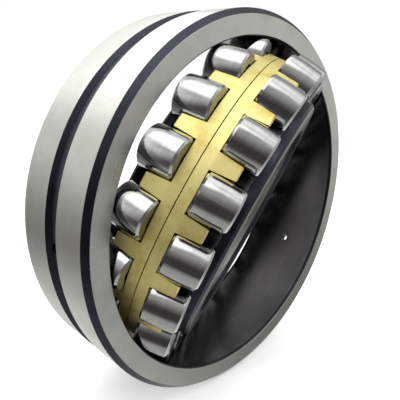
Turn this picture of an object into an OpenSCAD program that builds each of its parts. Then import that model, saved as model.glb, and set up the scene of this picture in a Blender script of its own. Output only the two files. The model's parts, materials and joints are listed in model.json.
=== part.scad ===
// Spherical roller bearing, 65 x 120 x 31 mm.
// Two rows of barrel rollers run in a common spherical raceway in the outer ring.
// Each row has its own machined comb cage; the two cages sit back to back.
// The inner ring, cages, rollers and guide ring are turned out of the outer ring
// about an axis through the centre of the spherical raceway.
// Origin: the centre of the raceway. The outer ring's axis lies along Y, front at -Y, +Z up.

/* [Bearing] */
// Bore diameter
bore_d = 65; // [60:0.5:66]
// Outside diameter
outer_d = 120; // [119:0.5:126]
// Width of both rings
width = 31; // [30.5:0.25:32]
// Chamfer at the outside diameter and at the bore
ring_chamfer = 1.6; // [1.0:0.1:1.8]

/* [Outer ring] */
// Diameter of the spherical raceway
raceway_d = 109.6; // [109.2:0.1:110.4]
// Chamfer where the raceway meets the side faces
raceway_chamfer = 0.4; // [0.2:0.1:0.6]
// Width of the lubrication groove at the outside diameter
groove_width = 5.5; // [4:0.5:6.5]
// Width of the floor of the lubrication groove
groove_floor = 3.6; // [3.2:0.1:4]
// Depth of the lubrication groove
groove_depth = 1.2; // [0.8:0.1:1.5]
// Diameter of the lubrication holes
oil_hole_d = 3; // [2:0.5:3]
// Places of the lubrication holes, measured from +X towards +Z
oil_hole_angles = [82, 187, 337]; // [0:1:359]

/* [Rollers] */
// Rollers in each row
roller_count = 19; // [16:1:19]
// Largest diameter of a barrel roller
roller_d = 12.4; // [12:0.1:12.6]
// Length of a roller
roller_length = 10.3; // [9.8:0.1:10.4]
// Radius of the barrel profile
roller_profile_r = 53.5; // [50:0.5:54]
// Chamfer at the roller ends
roller_chamfer = 0.5; // [0.3:0.1:0.7]
// Diameter of the shallow recess in each roller end
recess_d = 5.6; // [4:0.2:7]
// Depth of the end recess
recess_depth = 0.35; // [0.2:0.05:0.6]
// Angle between a roller's axis and the bearing's axis
contact_angle = 9.73; // [9.4:0.01:10]

/* [Cages] */
// Outside diameter of each cage at the split
cage_d = 101; // [100:0.2:101.4]
// Outside diameter at the prong tips
prong_tip_d = 100; // [99:0.2:100]
// Inside diameter of the cages
cage_bore_d = 90.4; // [90:0.1:91]
// Distance from the split to the prong tips
prong_reach = 10; // [9:0.1:10.6]
// Radius of a roller pocket at its floor
pocket_floor_r = 6.1; // [6.05:0.01:6.15]
// Widening of a pocket per millimetre towards its mouth
pocket_flare = 0.093; // [0.085:0.001:0.1]
// Bevel along the edge of each prong tip
tip_bevel = 0.35; // [0.2:0.05:0.5]
// Bevel across the inner edge of each prong tip
prong_bevel = 0.8; // [0.4:0.1:1.2]
// Gap between the two cages
split_gap = 0.3; // [0.2:0.05:0.4]

/* [Inner ring and guide ring] */
// Diameter of the retaining rib at each side of the inner ring
rib_d = 85.2; // [84.6:0.1:85.4]
// Chamfer at the outer edge of the retaining ribs
rib_chamfer = 0.8; // [0.5:0.1:1]
// Radius of the profile of the two inner raceways
inner_profile_r = 54.5; // [54:0.5:56]
// Diameter of the land under the guide ring
land_d = 84; // [83.8:0.1:84.2]
// Outside diameter of the guide ring
guide_d = 89.6; // [89:0.1:89.6]

/* [Fits] */
// Clearance between rollers and raceways, ribs and guide ring
running_gap = 0.3; // [0.25:0.01:0.35]
// Clearance between a roller's end and the floor of its pocket
pocket_end_gap = 0.25; // [0.2:0.01:0.3]
// Play of the guide ring towards each shoulder of its land
guide_play = 0.35; // [0.3:0.01:0.4]

/* [Pose] */
// Angle by which the inner assembly is turned out of the outer ring
swivel = 32.8; // [0:0.1:33]
// Lean of the swivel axis away from vertical, in the plane of the outer ring
swivel_axis_lean = 38; // [0:1:90]
// Place of the first roller of the front row
front_phase = 6.7; // [0:0.1:18]
// Place of the first roller of the rear row
rear_phase = 1.0; // [0:0.1:18]

/* [Hidden] */
// fineness of the rings and cages
$fn = 180;
// fineness of the long arcs in the profiles
arc_fn = 720;
// fineness of a roller about its own axis
roller_fn = 96;
// fineness of a roller pocket
pocket_fn = 48;
// fineness of a lubrication hole
hole_fn = 24;
half_width = width / 2;
raceway_r = raceway_d / 2;
roller_r = roller_d / 2;
pitch_angle = 360 / roller_count;
// distance from the bearing's centre to the middle of a roller
roller_reach = raceway_r - running_gap - roller_r;
roller_x = roller_reach * cos(contact_angle);
roller_z = roller_reach * sin(contact_angle);
// where the pocket floor, the guide ring and the rib stand along a roller's axis, from its middle
pocket_floor = -(roller_length / 2 + pocket_end_gap);
guide_flank = -(roller_length / 2 + running_gap);
rib_flank = roller_length / 2 + running_gap;
// radius of a barrel roller at a distance s from its middle
function barrel_r(s) = roller_r - roller_profile_r + sqrt(pow(roller_profile_r, 2) - s * s);
// height above the split of a plane square to the roller axis, s along it, at radius r
function flank_z(r, s) = roller_z + s * cos(contact_angle)
    + (r - roller_x + s * sin(contact_angle)) * tan(contact_angle);

// ---- placing ----

// A child made round +Z is laid along the outer ring's axis, +Z becoming the front.
module along_ring() {
    rotate([90, 0, 0]) children();
}

// The same, for the pieces that are turned out of the outer ring.
module swivelled() {
    rotate([0, swivel_axis_lean, 0]) rotate([0, 0, swivel]) along_ring() children();
}

// Moves a child, made round its own +Z, onto the axis of a roller at an angle.
module on_roller_axis(angle) {
    rotate([0, 0, angle]) translate([roller_x, 0, roller_z]) rotate([0, -contact_angle, 0])
        children();
}

// Turns the front row's pieces over into rear ones.
module rear() {
    mirror([0, 0, 1]) children();
}

// ---- outer ring ----

module outer_ring_profile() {
    outer_r = outer_d / 2;
    face_r = sqrt(pow(raceway_r, 2) - pow(half_width - raceway_chamfer, 2)) + raceway_chamfer;
    blank_r = raceway_r / 2;
    cut = 2 * raceway_chamfer;
    difference() {
        polygon([
            [blank_r, -half_width],
            [outer_r - ring_chamfer, -half_width],
            [outer_r, -half_width + ring_chamfer],
            [outer_r, -groove_width / 2],
            [outer_r - groove_depth, -groove_floor / 2],
            [outer_r - groove_depth, groove_floor / 2],
            [outer_r, groove_width / 2],
            [outer_r, half_width - ring_chamfer],
            [outer_r - ring_chamfer, half_width],
            [blank_r, half_width]
        ]);
        circle(r = raceway_r, $fn = arc_fn);
        for (side = [-1, 1])
            polygon([
                [face_r + cut, side * (half_width + cut)],
                [face_r - cut, side * (half_width + cut)],
                [face_r - cut, side * (half_width - cut)]
            ]);
    }
}

module outer_ring() {
    color("lightgray") difference() {
        along_ring() rotate_extrude() outer_ring_profile();
        for (a = oil_hole_angles)
            rotate([0, -a, 0]) translate([raceway_r - oil_hole_d, 0, 0])
                rotate([0, 90, 0]) cylinder(d = oil_hole_d, h = outer_d / 2, $fn = hole_fn);
    }
}

// ---- inner ring ----

// The space that the front row sweeps in the inner ring, up to the retaining rib.
module raceway_cut() {
    rotate(contact_angle) intersection() {
        translate([roller_reach - roller_r - running_gap + inner_profile_r, 0])
            circle(r = inner_profile_r, $fn = arc_fn);
        translate([0, -width]) square([outer_d, width + rib_flank]);
    }
}

module inner_ring_profile() {
    bore_r = bore_d / 2;
    rib_r = rib_d / 2;
    land_half = flank_z(land_d / 2, guide_flank) + guide_play;
    difference() {
        polygon([
            [bore_r + ring_chamfer, -half_width],
            [rib_r - rib_chamfer, -half_width],
            [rib_r, -half_width + rib_chamfer],
            [rib_r, half_width - rib_chamfer],
            [rib_r - rib_chamfer, half_width],
            [bore_r + ring_chamfer, half_width],
            [bore_r, half_width - ring_chamfer],
            [bore_r, -half_width + ring_chamfer]
        ]);
        raceway_cut();
        mirror([0, 1]) raceway_cut();
        translate([land_d / 2, -land_half]) square([rib_r, 2 * land_half]);
    }
}

module inner_ring() {
    color("gray") swivelled() rotate_extrude() inner_ring_profile();
}

// ---- guide ring ----

module guide_ring() {
    inner_r = land_d / 2 + running_gap;
    outer_r = guide_d / 2;
    inner_z = flank_z(inner_r, guide_flank);
    outer_z = flank_z(outer_r, guide_flank);
    color("darkgray") swivelled() rotate_extrude()
        polygon([[inner_r, -inner_z], [outer_r, -outer_z], [outer_r, outer_z], [inner_r, inner_z]]);
}

// ---- cages ----

// One comb cage: a web at the split, with prongs between flat-bottomed pockets.
module comb_cage(phase) {
    web_r = cage_d / 2;
    tip_r = prong_tip_d / 2;
    inner_r = cage_bore_d / 2;
    pocket_depth = 2 * prong_reach;
    difference() {
        rotate_extrude() polygon([
            [inner_r, split_gap / 2],
            [web_r, split_gap / 2],
            [web_r, flank_z(web_r, pocket_floor)],
            [tip_r, prong_reach - tip_bevel],
            [tip_r - tip_bevel, prong_reach],
            [inner_r, prong_reach - prong_bevel]
        ]);
        for (i = [0:roller_count - 1])
            on_roller_axis(phase + i * pitch_angle) translate([0, 0, pocket_floor])
                cylinder(
                    r1 = pocket_floor_r,
                    r2 = pocket_floor_r + pocket_flare * pocket_depth,
                    h = pocket_depth,
                    $fn = pocket_fn
                );
    }
}

module front_cage() {
    color("goldenrod") swivelled() comb_cage(front_phase);
}

module rear_cage() {
    color("gold") swivelled() rear() comb_cage(rear_phase);
}

// ---- rollers ----

module roller_profile() {
    half = roller_length / 2;
    end_r = barrel_r(half);
    difference() {
        intersection() {
            translate([roller_r - roller_profile_r, 0]) circle(r = roller_profile_r, $fn = arc_fn);
            polygon([
                [0, -half],
                [end_r - roller_chamfer, -half],
                [end_r + roller_chamfer, -half + 2 * roller_chamfer],
                [end_r + roller_chamfer, half - 2 * roller_chamfer],
                [end_r - roller_chamfer, half],
                [0, half]
            ]);
        }
        for (side = [-1, 1])
            translate([0, side * half]) square([recess_d, 2 * recess_depth], center = true);
    }
}

// A barrel roller on its own axis, +Z.
module roller() {
    rotate_extrude($fn = roller_fn) roller_profile();
}

module front_roller(i) {
    color("silver") swivelled() on_roller_axis(front_phase + (i - 1) * pitch_angle) roller();
}

module rear_roller(i) {
    color("silver") swivelled() rear()
        on_roller_axis(rear_phase + (i - 1) * pitch_angle) roller();
}

// ---- the bearing ----

outer_ring();
inner_ring();
guide_ring();
front_cage();
rear_cage();
for (i = [1:roller_count]) {
    front_roller(i);
    rear_roller(i);
}
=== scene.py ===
"""Spherical roller bearing: machined finishes on the CAD frame, a plain studio and a camera."""

import json
import math

import bpy
from mathutils import Matrix, Vector

bl_info = {
    "name": "Spherical roller bearing",
    "version": (1, 0, 0),
    "blender": (4, 5, 0),
    "location": "3D View > Sidebar > Bearing",
    "description": "Finishes for the rings, cages and rollers of a spherical roller bearing, with a studio",
    "category": "Object",
}

MM = 0.001
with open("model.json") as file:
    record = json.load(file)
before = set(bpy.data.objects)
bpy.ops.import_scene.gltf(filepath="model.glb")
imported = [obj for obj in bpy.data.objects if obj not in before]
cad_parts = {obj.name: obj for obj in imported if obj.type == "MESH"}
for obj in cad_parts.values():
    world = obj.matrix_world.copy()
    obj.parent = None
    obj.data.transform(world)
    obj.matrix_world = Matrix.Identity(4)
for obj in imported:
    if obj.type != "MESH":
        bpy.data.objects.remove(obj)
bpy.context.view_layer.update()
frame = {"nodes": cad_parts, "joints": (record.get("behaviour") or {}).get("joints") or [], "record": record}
NODES = frame["nodes"]
JOINTS = {joint["name"]: joint for joint in frame["joints"]}
MOUNTS = {mount["name"]: mount for mount in frame["record"]["mounts"]}
OUTSIDE_R = MOUNTS["housing_seat"]["dims"]["r_mm"]
HALF_WIDTH = abs(MOUNTS["outer_ring_front"]["pos_m"][1]) / MM
BORE_R = MOUNTS["shaft_bore"]["dims"]["r_mm"]
RING_CHAMFER = HALF_WIDTH - MOUNTS["housing_seat"]["dims"]["length_mm"] / 2
CENTRE_LINE = Vector(MOUNTS["shaft_bore"]["axis"]).normalized()

# sizes in millimetres that the frame doesn't say; widths are from the middle plane
RACEWAY_R = 54.8  # the outer ring's spherical raceway
RACEWAY_EDGE = 14.2  # width at which its blackened edge starts
FACE_INNER_R = 52.98  # just inside the ring's side faces
GROOVE_HALF_WIDTH = 2.75
GROOVE_FLOOR_R = 58.8
HOLE_D = 3.0  # lubrication holes
RIB_ROOT_R = 40.5  # radius at which the inner ring's ribs start
BORE_WALL_R = 37.0  # between the inner ring's bore and its raceways
INNER_RACEWAY_EDGE = 12.6  # width at which its raceways end
ROLLER_END = 5.15  # from a roller's middle to its end face
ROLLER_END_R = 5.3  # its flat part
NICKS_FROM = 8.4  # widths between which the nicks on the cage prongs come in
NICKS_FULL = 9.8
SKIN = 0.04  # how far below a surface a finish changes


# ---- frames of the turned parts -------------------------------------------------------


def axial_frame(axis, towards):
    """The rotation into a frame whose Z is the given axis and whose X points towards a point."""
    z = Vector(axis).normalized()
    x = (Vector(towards) - Vector(towards).dot(z) * z).normalized()
    return Matrix((x, z.cross(x), z))


def roller_row(row):
    """What the joints say of a row: its frame, rollers, reach, offset and contact angle."""
    joints = [joint for name, joint in JOINTS.items() if name.startswith(f"{row}_roller_")]
    first = JOINTS[f"{row}_roller_1_spin"]
    to_local = axial_frame(CENTRE_LINE, first["pos_m"])
    centre = to_local @ Vector(first["pos_m"]) / MM
    lean = to_local @ Vector(first["axis"])
    return {
        "to_local": to_local,
        "count": len(joints),
        "reach": centre.x,
        "offset": centre.z,
        "angle": math.atan2(-lean.x, lean.z),
    }


# ---- shader graphs --------------------------------------------------------------------


class Value:
    """A shader socket that takes part in Python expressions."""

    def __init__(self, graph, socket):
        self.graph = graph
        self.socket = socket

    def _maths(self, operation, *values):
        return self.graph.node(
            "Math", {"operation": operation}, {i: value for i, value in enumerate(values)}
        )

    def __add__(self, other):
        return self._maths("ADD", self, other)

    def __radd__(self, other):
        return self._maths("ADD", other, self)

    def __sub__(self, other):
        return self._maths("SUBTRACT", self, other)

    def __rsub__(self, other):
        return self._maths("SUBTRACT", other, self)

    def __mul__(self, other):
        return self._maths("MULTIPLY", self, other)

    def __rmul__(self, other):
        return self._maths("MULTIPLY", other, self)

    def __truediv__(self, other):
        return self._maths("DIVIDE", self, other)

    def __pow__(self, other):
        return self._maths("POWER", self, other)

    def __neg__(self):
        return self._maths("MULTIPLY", self, -1.0)

    def __abs__(self):
        return self._maths("ABSOLUTE", self)

    def function(self, operation, other=None):
        return self._maths(operation, *((self,) if other is None else (self, other)))


class Graph:
    """The node tree of a material or a world."""

    def __init__(self, owner):
        owner.use_nodes = True
        self.owner = owner
        self.tree = owner.node_tree
        self.tree.nodes.clear()

    def node(self, kind, settings=None, inputs=None, output=0):
        """Adds a node: its settings first, then the values or links of its sockets.

        The value that comes back is one of its outputs, by name or by place.
        """
        node = self.tree.nodes.new("ShaderNode" + kind)
        for name, value in (settings or {}).items():
            setattr(node, name, value)
        for name, value in (inputs or {}).items():
            socket = node.inputs[name]
            if isinstance(value, Value):
                self.tree.links.new(value.socket, socket)
            else:
                socket.default_value = value
        return Value(self, node.outputs[output]) if node.outputs else None

    def ramp(self, value, low, high):
        """A smooth step from 0 at low to 1 at high."""
        limits = {"Value": value, "From Min": low, "From Max": high}
        return self.node("MapRange", {"interpolation_type": "SMOOTHSTEP"}, limits)

    def band(self, value, low, high, edge):
        """1 between low and high, falling to 0 over the edge's width."""
        return self.ramp(value, low - edge, low) * (1 - self.ramp(value, high, high + edge))

    def join(self, x, y, z):
        """A vector of three components."""
        return self.node("CombineXYZ", None, {0: x, 1: y, 2: z})

    def split(self, vector):
        """A vector's three components."""
        outputs = self.node("SeparateXYZ", None, {0: vector}).socket.node.outputs
        return [Value(self, socket) for socket in outputs]

    def noise(self, vector, scale, detail=2.0, roughness=0.5):
        """Fractal noise about 0.5."""
        inputs = {"Vector": vector, "Scale": scale, "Detail": detail, "Roughness": roughness}
        return self.node("TexNoise", None, inputs)

    def mix(self, factor, first, second):
        """Blends two colours."""
        sockets = {"Factor": factor, 6: first, 7: second}
        return self.node("Mix", {"data_type": "RGBA"}, sockets, output=2)

    def shade(self, colour, factor):
        """Scales a colour's brightness by a varying number."""
        return self.node("VectorMath", {"operation": "SCALE"}, {0: colour, "Scale": factor})

    def surface(self, height=None, depth=0.0, **sockets):
        """The principled surface and the output; a height of up to the depth gives the bump."""
        if height is not None:
            bump = {"Height": height, "Distance": depth, "Strength": 1.0}
            sockets["Normal"] = self.node("Bump", None, bump)
        sockets = {name.replace("_", " "): value for name, value in sockets.items()}
        surface = self.node("BsdfPrincipled", None, sockets)
        self.node("OutputMaterial", None, {"Surface": surface})
        return self.owner


class Turned:
    """Cylindrical coordinates, in millimetres, in the frame of a turned part."""

    def __init__(self, graph, to_local):
        place = graph.node("TexCoord", output="Object")
        turn = to_local.to_euler()
        settings = {"vector_type": "POINT"}
        inputs = {"Vector": place, "Rotation": turn, "Scale": (1 / MM,) * 3}
        local = graph.node("Mapping", settings, inputs)
        self.graph = graph
        self.point = local
        self.x, self.y, self.z = graph.split(local)
        self.radius = (self.x * self.x + self.y * self.y) ** 0.5
        self.width = abs(self.z)

    def along(self, across, coarse, seed=0.0):
        """A vector that varies fast across the given length and slowly round the axis."""
        turned_x = self.x / self.radius
        turned_y = self.y / self.radius
        return self.graph.join(across, turned_x * coarse + seed, turned_y * coarse)

    def grain(self, coarse=2.0):
        """Circumferential grinding marks, about 0 to 1: fine lines over broader ones."""
        across = self.radius + self.z
        fine = self.graph.noise(self.along(across, coarse), 5.0, 3.0, 0.7)
        broad = self.graph.noise(self.along(across, coarse * 0.5, 7.0), 1.1, 2.0, 0.5)
        return fine * 0.7 + broad * 0.3


# ---- finishes -------------------------------------------------------------------------


def ground_with_oxide(name, to_local, dark, finish, raceway):
    """Ground steel with satin lands, blackened where dark is 1 and lapped where raceway is 1."""
    graph = Graph(bpy.data.materials.new(name))
    part = Turned(graph, to_local)
    black = dark(graph, part)
    lapped = raceway(graph, part)
    grain = part.grain()
    cloud = graph.noise(part.point, 0.12, 3.0, 0.6)
    specks = graph.noise(part.point, 2.4, 2.0, 0.6)
    handled = graph.ramp(cloud, 0.35, 0.75)
    tone = 0.86 + grain * 0.22 + cloud * 0.08
    steel = graph.shade(graph.mix(handled, tuple(finish.steel), tuple(finish.steel_warm)), tone)
    lap_tone = 0.45 + grain * 0.75 + cloud * 0.35
    lap = graph.shade(tuple(finish.raceway)[:3], lap_tone)
    bare = graph.mix(lapped, steel, lap)
    oxide = graph.shade(tuple(finish.oxide)[:3], 0.7 + cloud * 0.7)
    worn = graph.ramp(specks, 0.66, 0.74) * 0.5
    colour = graph.mix(black * (1 - worn * 0.6), bare, oxide)
    satin = finish.steel_roughness + grain * 0.16 + handled * 0.05
    polish = finish.raceway_roughness + cloud * 0.1 + grain * 0.05
    rough = satin * (1 - lapped) + polish * lapped
    rough = rough * (1 - black) + (0.3 + cloud * 0.15) * black
    height = grain * (1 - lapped * 0.85)
    return graph.surface(
        Base_Color=colour,
        Metallic=1.0,
        Roughness=rough,
        height=height,
        depth=0.02 * MM,
    )


def bright_side(graph, part):
    """1 on the ground side faces, 0 below them."""
    side = HALF_WIDTH - SKIN
    return graph.ramp(part.width, side, side + 0.02)


def outer_ring_finish(finish):
    """Black in the groove, in the holes and on the chamfers, and lapped in the raceway."""
    land_r = OUTSIDE_R - SKIN
    corner = OUTSIDE_R + HALF_WIDTH - RING_CHAMFER

    def reach(part):
        return (part.radius * part.radius + part.z * part.z) ** 0.5

    def dark(graph, part):
        inside = graph.ramp(part.radius, RACEWAY_R + 0.2, RACEWAY_R + 0.4)
        groove = graph.band(part.width, -1.0, GROOVE_HALF_WIDTH - 0.02, 0.04) * inside
        chamfer = graph.ramp(part.radius + part.width, corner - 0.12, corner - 0.05)
        chamfer = chamfer * (1 - graph.ramp(part.radius, land_r, land_r + 0.02))
        chamfer = chamfer * (1 - bright_side(graph, part))
        drilled = 1 - graph.ramp(part.width, HOLE_D, HOLE_D + 0.1)
        hole = graph.band(reach(part), RACEWAY_R + SKIN, GROOVE_FLOOR_R + 0.1, 0.02) * drilled
        edge = graph.ramp(part.width, RACEWAY_EDGE, RACEWAY_EDGE + 0.1)
        edge = edge * (1 - graph.ramp(part.radius, FACE_INNER_R, FACE_INNER_R + SKIN))
        return groove.function("MAXIMUM", chamfer).function("MAXIMUM", hole + edge)

    def raceway(graph, part):
        return 1 - graph.ramp(reach(part), RACEWAY_R + 0.1, RACEWAY_R + 0.2)

    to_local = axial_frame((0, -1, 0), (1, 0, 0))
    return ground_with_oxide("outer_ring_steel", to_local, dark, finish, raceway)


def inner_ring_finish(finish):
    """Black on the ribs and the bore's chamfers, and lapped in the two raceways."""
    chamfer_r = BORE_R + RING_CHAMFER

    def dark(graph, part):
        below_side = 1 - bright_side(graph, part)
        rib = graph.ramp(part.radius, RIB_ROOT_R, RIB_ROOT_R + 0.2)
        chamfer = 1 - graph.ramp(part.radius, chamfer_r - 0.05, chamfer_r)
        chamfer = chamfer * graph.ramp(part.radius, BORE_R + 0.02, BORE_R + 0.06)
        return rib.function("MAXIMUM", chamfer) * below_side

    def raceway(graph, part):
        outside = graph.ramp(part.radius, BORE_WALL_R, BORE_WALL_R + 0.2)
        return outside * (1 - graph.ramp(part.width, INNER_RACEWAY_EDGE, INNER_RACEWAY_EDGE + 0.1))

    row = roller_row("front")
    return ground_with_oxide("inner_ring_steel", row["to_local"], dark, finish, raceway)


def guide_ring_finish(finish):
    """Turned steel, duller than the ground rings."""
    graph = Graph(bpy.data.materials.new("guide_ring_steel"))
    part = Turned(graph, roller_row("front")["to_local"])
    grain = part.grain(3.0)
    cloud = graph.noise(part.point, 0.3, 3.0, 0.6)
    colour = graph.shade(tuple(finish.steel)[:3], 0.45 + grain * 0.2 + cloud * 0.1)
    return graph.surface(
        Base_Color=colour,
        Metallic=1.0,
        Roughness=0.35 + grain * 0.2,
        height=grain,
        depth=0.02 * MM,
    )


def brass_finish(finish):
    """Machined brass with fine turning marks, a little tarnish and nicked prongs."""
    graph = Graph(bpy.data.materials.new("cage_brass"))
    part = Turned(graph, roller_row("front")["to_local"])
    grain = part.grain(1.5)
    cloud = graph.noise(part.point, 0.16, 4.0, 0.6)
    spots = graph.noise(part.point, 1.3, 3.0, 0.7)
    tarnish = graph.ramp(cloud, 0.42, 0.78)
    colour = graph.mix(tarnish, tuple(finish.brass), tuple(finish.brass_dark))
    nicks = graph.ramp(spots, 0.68, 0.74) * graph.ramp(part.width, NICKS_FROM, NICKS_FULL)
    colour = graph.shade(colour, (0.9 + grain * 0.16) * (1 - nicks * 0.35))
    return graph.surface(
        Base_Color=colour,
        Metallic=0.85,
        Roughness=finish.brass_roughness + grain * 0.14 + cloud * 0.08,
        height=grain - nicks * 2.0,
        depth=0.02 * MM,
    )


def roller_finish(finish, row_name):
    """Lapped rollers, with each one's own axis found from its row's pitch."""
    row = roller_row(row_name)
    graph = Graph(bpy.data.materials.new(f"{row_name}_roller_steel"))
    part = Turned(graph, row["to_local"])
    pitch = 2 * math.pi / row["count"]
    around = part.y.function("ARCTAN2", part.x)
    place = (around / pitch).function("ROUND")
    off = around - place * pitch
    ahead = part.radius * off.function("COSINE") - row["reach"]
    aside = part.radius * off.function("SINE")
    lift = part.z - row["offset"]
    cosine, sine = math.cos(row["angle"]), math.sin(row["angle"])
    length = lift * cosine - ahead * sine
    out = ahead * cosine + lift * sine
    radius = (out * out + aside * aside) ** 0.5
    around_x, around_y = out / radius, aside / radius
    shift = place * 3.7
    lines = graph.join(length, around_x * 0.5 + shift, around_y * 0.5)
    fine = graph.ramp(graph.noise(lines, 2.1, 3.0, 0.7), 0.3, 0.7)
    broad = graph.ramp(graph.noise(lines, 0.62, 2.0, 0.5), 0.3, 0.7)
    smudge = graph.noise(graph.join(part.x + shift, part.y, part.z), 0.35, 4.0, 0.6)
    end = graph.ramp(abs(length), ROLLER_END - 0.2, ROLLER_END - 0.05)
    end = end * (1 - graph.ramp(radius, ROLLER_END_R, ROLLER_END_R + 0.15))
    tone = 0.82 + fine * 0.06 + broad * 0.1 + smudge * 0.14
    colour = graph.shade(tuple(finish.roller)[:3], tone * (1 - end * 0.25))
    rough = finish.roller_roughness + graph.ramp(smudge, 0.45, 0.8) * 0.12 + fine * 0.02
    return graph.surface(
        Base_Color=colour,
        Metallic=1.0,
        Roughness=rough * (1 - end) + (0.3 + fine * 0.1) * end,
        height=fine + broad,
        depth=0.0025 * MM,
    )


def give(node, material):
    """Puts one material on every slot of a CAD node."""
    mesh = NODES[node].data
    mesh.materials.clear()
    mesh.materials.append(material)


# ---- settings -------------------------------------------------------------------------


def colour_property(name, description, default):
    return bpy.props.FloatVectorProperty(
        name=name, description=description, subtype="COLOR", size=4, min=0, max=1, default=default
    )


def share_property(name, description, default):
    return bpy.props.FloatProperty(
        name=name, description=description, subtype="FACTOR", min=0, max=1, default=default
    )


class BearingFinish(bpy.types.PropertyGroup):
    """Colours and roughness of the machined surfaces."""

    steel: colour_property("Ground steel", "Side faces and lands", (0.62, 0.63, 0.60, 1))
    steel_warm: colour_property("Handled steel", "Where hands have dulled it", (0.56, 0.56, 0.52, 1))
    steel_roughness: share_property("Ground roughness", "Roughness of the lands", 0.2)
    oxide: colour_property("Oxide", "Blackened chamfers and groove", (0.050, 0.054, 0.070, 1))
    raceway: colour_property("Raceway", "Lapped raceways", (0.285, 0.275, 0.29, 1))
    raceway_roughness: share_property("Raceway roughness", "Roughness of the raceways", 0.18)
    roller: colour_property("Roller", "Superfinished rollers", (0.53, 0.53, 0.535, 1))
    roller_roughness: share_property("Roller roughness", "Roughness of the rollers", 0.035)
    brass: colour_property("Brass", "Machined brass", (0.92, 0.82, 0.35, 1))
    brass_dark: colour_property("Tarnished brass", "Duller brass", (0.74, 0.57, 0.17, 1))
    brass_roughness: share_property("Brass roughness", "Roughness of the cages", 0.4)


class BearingStage(bpy.types.PropertyGroup):
    """The camera, the floor and the tints of the light."""

    azimuth: bpy.props.FloatProperty(
        name="Azimuth", description="Camera's turn about Z", subtype="ANGLE",
        default=math.radians(-46.05),
    )
    elevation: bpy.props.FloatProperty(
        name="Elevation", description="Camera's height above the horizon", subtype="ANGLE",
        default=math.radians(13.79),
    )
    roll: bpy.props.FloatProperty(
        name="Roll", description="Camera's turn about its own axis", subtype="ANGLE",
        default=math.radians(5.96),
    )
    distance: bpy.props.FloatProperty(
        name="Distance", description="Camera to the point it looks at", unit="LENGTH",
        default=150.25 * MM,
    )
    aim: bpy.props.FloatVectorProperty(
        name="Aim", description="Point the camera looks at", subtype="TRANSLATION",
        default=(-6.56 * MM, 5.49 * MM, -1.46 * MM),
    )
    lens: bpy.props.FloatProperty(
        name="Lens", description="Focal length for a 36 mm frame", min=1.0, default=39.5
    )
    shift: bpy.props.FloatVectorProperty(
        name="Shift", description="Lens shift", size=2, default=(0.0335, 0.0063)
    )
    floor_size: bpy.props.FloatProperty(
        name="Floor", description="Side of the floor", unit="LENGTH", default=6.0
    )
    floor_colour: colour_property("Floor colour", "Pale floor", (0.90, 0.90, 0.90, 1))
    floor_glow: bpy.props.FloatProperty(
        name="Floor glow", description="Light that keeps the floor pale", min=0, default=0.45
    )
    lamps: colour_property("Lamps", "Light from the ceiling and the table", (1.0, 1.0, 0.97, 1))
    walls: colour_property("Walls", "Light from the walls of the room", (1.0, 0.93, 0.91, 1))


# ---- operators ------------------------------------------------------------------------


class BEARING_OT_outer_ring(bpy.types.Operator):
    """Ground, blackened and lapped steel on the outer ring"""

    bl_idname = "bearing.outer_ring"
    bl_label = "Outer ring"

    def execute(self, context):
        give("outer_ring", outer_ring_finish(context.scene.bearing_finish))
        return {"FINISHED"}


class BEARING_OT_inner_ring(bpy.types.Operator):
    """Ground, blackened and lapped steel on the inner ring"""

    bl_idname = "bearing.inner_ring"
    bl_label = "Inner ring"

    def execute(self, context):
        give("inner_ring", inner_ring_finish(context.scene.bearing_finish))
        return {"FINISHED"}


class BEARING_OT_guide_ring(bpy.types.Operator):
    """Turned steel on the guide ring"""

    bl_idname = "bearing.guide_ring"
    bl_label = "Guide ring"

    def execute(self, context):
        give("guide_ring", guide_ring_finish(context.scene.bearing_finish))
        return {"FINISHED"}


class BEARING_OT_cages(bpy.types.Operator):
    """Machined brass on both cages"""

    bl_idname = "bearing.cages"
    bl_label = "Cages"

    def execute(self, context):
        brass = brass_finish(context.scene.bearing_finish)
        give("front_cage", brass)
        give("rear_cage", brass)
        return {"FINISHED"}


class BEARING_OT_rollers(bpy.types.Operator):
    """Superfinished steel on both rows of rollers"""

    bl_idname = "bearing.rollers"
    bl_label = "Rollers"

    def execute(self, context):
        for row in ("front", "rear"):
            steel = roller_finish(context.scene.bearing_finish, row)
            for node in NODES:
                if node.startswith(f"{row}_roller_"):
                    give(node, steel)
        return {"FINISHED"}


def place_camera(stage):
    """A camera on a sphere about its aim, rolled about its own axis."""
    azimuth, elevation, roll = stage.azimuth, stage.elevation, stage.roll
    level = Vector((math.cos(azimuth), math.sin(azimuth), 0))
    back = Vector((
        math.sin(azimuth) * math.cos(elevation),
        -math.cos(azimuth) * math.cos(elevation),
        math.sin(elevation),
    ))
    rise = back.cross(level)
    right = math.cos(roll) * level + math.sin(roll) * rise
    up = math.cos(roll) * rise - math.sin(roll) * level
    data = bpy.data.cameras.new("camera")
    data.lens = stage.lens
    data.sensor_width = 36.0
    data.shift_x, data.shift_y = stage.shift
    data.clip_start = 5 * MM
    camera = bpy.data.objects.new("camera", data)
    turn = Matrix((right, up, back)).transposed()
    camera.matrix_world = Matrix.Translation(Vector(stage.aim) + stage.distance * back) @ turn.to_4x4()
    bpy.context.scene.collection.objects.link(camera)
    bpy.context.scene.camera = camera


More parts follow.
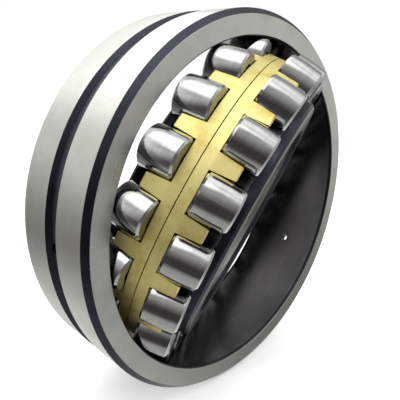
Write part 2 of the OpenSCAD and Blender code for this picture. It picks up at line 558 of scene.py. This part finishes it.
def lay_floor(stage):
    """A pale paper floor under the outer ring, which the polished metal doesn't reflect."""
    half = stage.floor_size / 2
    low = -OUTSIDE_R * MM
    mesh = bpy.data.meshes.new("floor")
    corners = [(-half, -half, low), (half, -half, low), (half, half, low), (-half, half, low)]
    mesh.from_pydata(corners, [], [(0, 1, 2, 3)])
    floor = bpy.data.objects.new("floor", mesh)
    bpy.context.scene.collection.objects.link(floor)
    graph = Graph(bpy.data.materials.new("floor_paper"))
    place = graph.node("TexCoord", output="Object")
    fibre = graph.noise(place, 60.0, 3.0)
    colour = graph.shade(tuple(stage.floor_colour)[:3], 0.985 + fibre * 0.03)
    paper = graph.surface(
        Base_Color=colour,
        Roughness=0.85 + fibre * 0.1,
        Emission_Color=tuple(stage.floor_colour),
        Emission_Strength=stage.floor_glow,
    )
    mesh.materials.append(paper)
    floor.visible_glossy = False


def light_world(stage):
    """White to the camera. Everything else is lit by a room worked out from the direction.

    Away runs from 0 towards the camera to 1 behind the object, and across to the camera's right.
    """
    graph = Graph(bpy.data.worlds.new("studio"))
    direction = graph.node("TexCoord", output="Generated")
    x, y, z = graph.split(direction)
    sine, cosine = math.sin(stage.azimuth), math.cos(stage.azimuth)
    away = 0.5 - (x * sine - y * cosine) * 0.5
    across = x * cosine + y * sine

    def patch(towards, inner, outer):
        """1 within the inner angle of a direction, 0 beyond the outer one."""
        axis = tuple(Vector(towards).normalized())
        sides = {0: direction, 1: axis}
        near = graph.node("VectorMath", {"operation": "DOT_PRODUCT"}, sides, output="Value")
        return graph.ramp(near, math.cos(math.radians(outer)), math.cos(math.radians(inner)))

    # a bright ceiling, low on the left, dimmer at the far side and behind a person at the camera
    left = graph.ramp(-across, 0.55, 0.9)
    person = patch((sine + cosine * 0.1, sine * 0.1 - cosine, 0.45), 8, 44)
    far = graph.ramp(away, 0.56, 0.8) * (1 - left * 0.7)
    clutter = graph.ramp(graph.noise(direction, 2.6, 2.0, 0.5), 0.4, 0.6)
    ceiling = graph.ramp(z + left * 0.34, -0.1, 0.95) * (1.05 + clutter * 0.45)
    ceiling = ceiling * (1 - person * 0.6) * (1 - far * 0.55)
    # a window and a lamp in it, and a dark edge at the back that cuts off all three
    window = patch((0.14, 0.79, 0.59), 16, 37) * 1.75
    lamp = patch((-0.31, -0.02, 0.95), 8, 35) * 1.25
    glow = (ceiling + window + lamp) * (1 - graph.ramp(y + x * 0.15, 0.79, 0.835) * 0.62)
    # dim walls below the ceiling, and a table with one dark corner
    near_side = graph.ramp(away, -0.15, 0.7) * (0.2 + graph.ramp(across, -0.2, 0.5) * 0.38)
    side = near_side * (1 - graph.ramp(z, 0.1, 0.4))
    grazed = graph.ramp(away, 0.62, 0.95) * (1 - graph.ramp(across, 0.1, 0.4)) * 0.5
    table = graph.ramp(away * 0.2 - z, 0.48, 0.85) * (0.37 + grazed)
    corner = patch((0.78, -0.40, -0.48), 4, 24)
    dim = (table + side) * (1 - corner * 0.8) + 0.045
    level = glow + dim
    tint = graph.mix(graph.ramp(level, 0.12, 0.45), tuple(stage.walls), tuple(stage.lamps))
    room = graph.shade(tint, level)
    behind = graph.node("Background", None, {"Color": (1, 1, 1, 1), "Strength": 1.0})
    around = graph.node("Background", None, {"Color": room, "Strength": 1.0})
    seen = graph.node("LightPath", output="Is Camera Ray")
    mixed = graph.node("MixShader", None, {0: seen, 1: around, 2: behind})
    graph.node("OutputWorld", None, {"Surface": mixed})
    bpy.context.scene.world = graph.owner


class BEARING_OT_stage(bpy.types.Operator):
    """The camera, the floor and the lights"""

    bl_idname = "bearing.stage"
    bl_label = "Stage"

    def execute(self, context):
        stage = context.scene.bearing_stage
        place_camera(stage)
        lay_floor(stage)
        light_world(stage)
        context.scene.view_settings.view_transform = "Standard"
        return {"FINISHED"}


class BEARING_PT_panel(bpy.types.Panel):
    """Lists the finishes and the stage"""

    bl_idname = "BEARING_PT_panel"
    bl_label = "Bearing"
    bl_space_type = "VIEW_3D"
    bl_region_type = "UI"
    bl_category = "Bearing"

    def draw(self, context):
        for operator in OPERATORS:
            self.layout.operator(operator.bl_idname)
        for settings in (context.scene.bearing_finish, context.scene.bearing_stage):
            for name in settings.__annotations__:
                self.layout.prop(settings, name)


OPERATORS = (
    BEARING_OT_outer_ring,
    BEARING_OT_inner_ring,
    BEARING_OT_guide_ring,
    BEARING_OT_cages,
    BEARING_OT_rollers,
    BEARING_OT_stage,
)
CLASSES = (BearingFinish, BearingStage, *OPERATORS, BEARING_PT_panel)


def register():
    for cls in CLASSES:
        bpy.utils.register_class(cls)
    bpy.types.Scene.bearing_finish = bpy.props.PointerProperty(type=BearingFinish)
    bpy.types.Scene.bearing_stage = bpy.props.PointerProperty(type=BearingStage)


def unregister():
    del bpy.types.Scene.bearing_stage
    del bpy.types.Scene.bearing_finish
    for cls in reversed(CLASSES):
        bpy.utils.unregister_class(cls)


def main():
    register()
    bpy.ops.bearing.outer_ring()
    bpy.ops.bearing.inner_ring()
    bpy.ops.bearing.guide_ring()
    bpy.ops.bearing.cages()
    bpy.ops.bearing.rollers()
    bpy.ops.bearing.stage()


if __name__ == "__main__":
    main()
